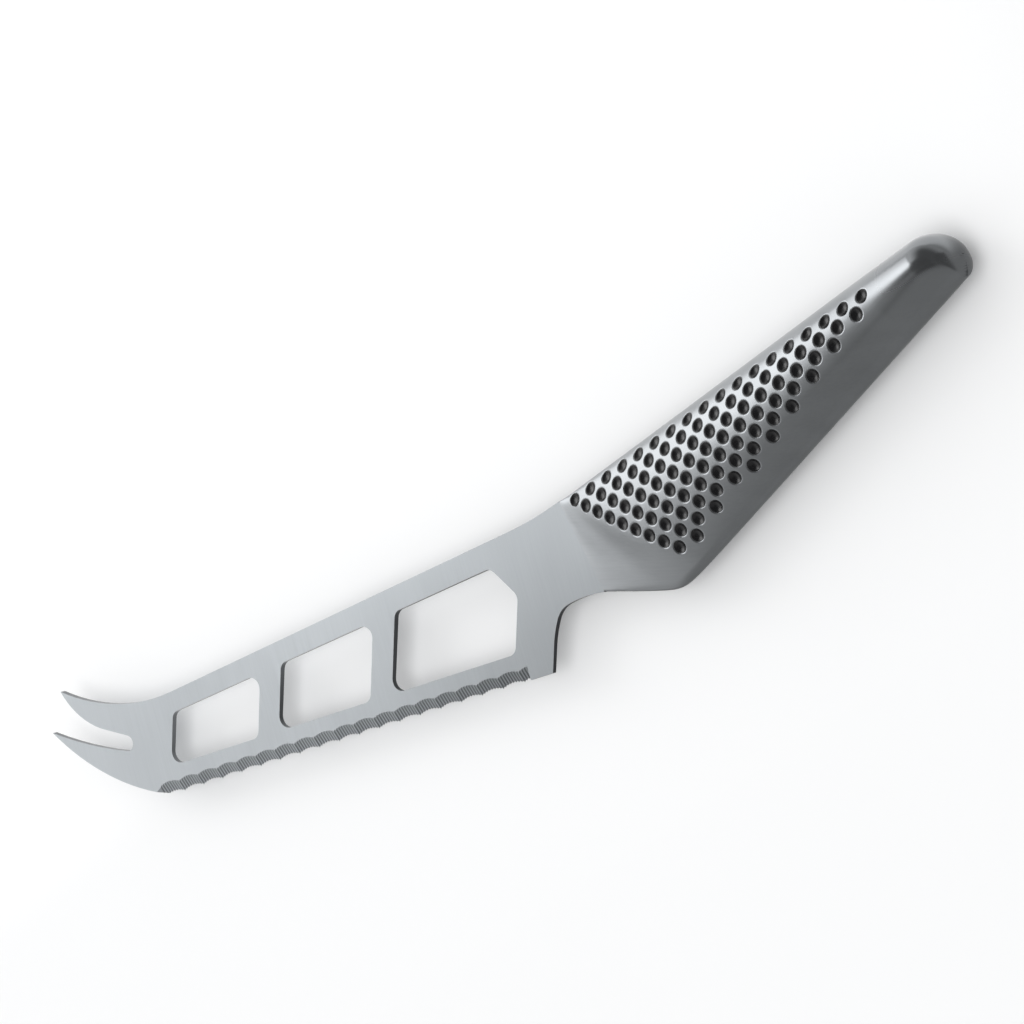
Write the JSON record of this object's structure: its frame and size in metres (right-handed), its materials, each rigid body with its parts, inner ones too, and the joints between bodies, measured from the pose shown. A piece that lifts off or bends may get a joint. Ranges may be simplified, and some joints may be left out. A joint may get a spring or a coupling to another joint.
{
  "type": "cheese knife",
  "caption": "All-steel cheese knife with a forked tip, an openwork blade with a scalloped edge, and a hollow dimpled handle.",
  "frame": {"origin": "centre of the knife's bounding box, in the middle plane of the blade", "axes": "+X along the cutting edge from the forked tip towards the handle, +Y from the cutting edge towards the spine, +Z out of the blade's left side, the side with the ground scallops"},
  "size_m": [0.2574, 0.056, 0.015],
  "materials": {
    "blade_steel": "satin, with a fine grain across the blade",
    "handle_steel": "satin to bright, polished at the butt",
    "black_enamel": "black, half matt",
    "sand": "loose grains"
  },
  "bodies": {
    "root": {"blade": "blade_steel", "left_handle_half": "handle_steel", "right_handle_half": "handle_steel", "left_dimple_enamel": "black_enamel", "right_dimple_enamel": "black_enamel", "ballast_filling": "sand"}
  },
  "joints": []
}
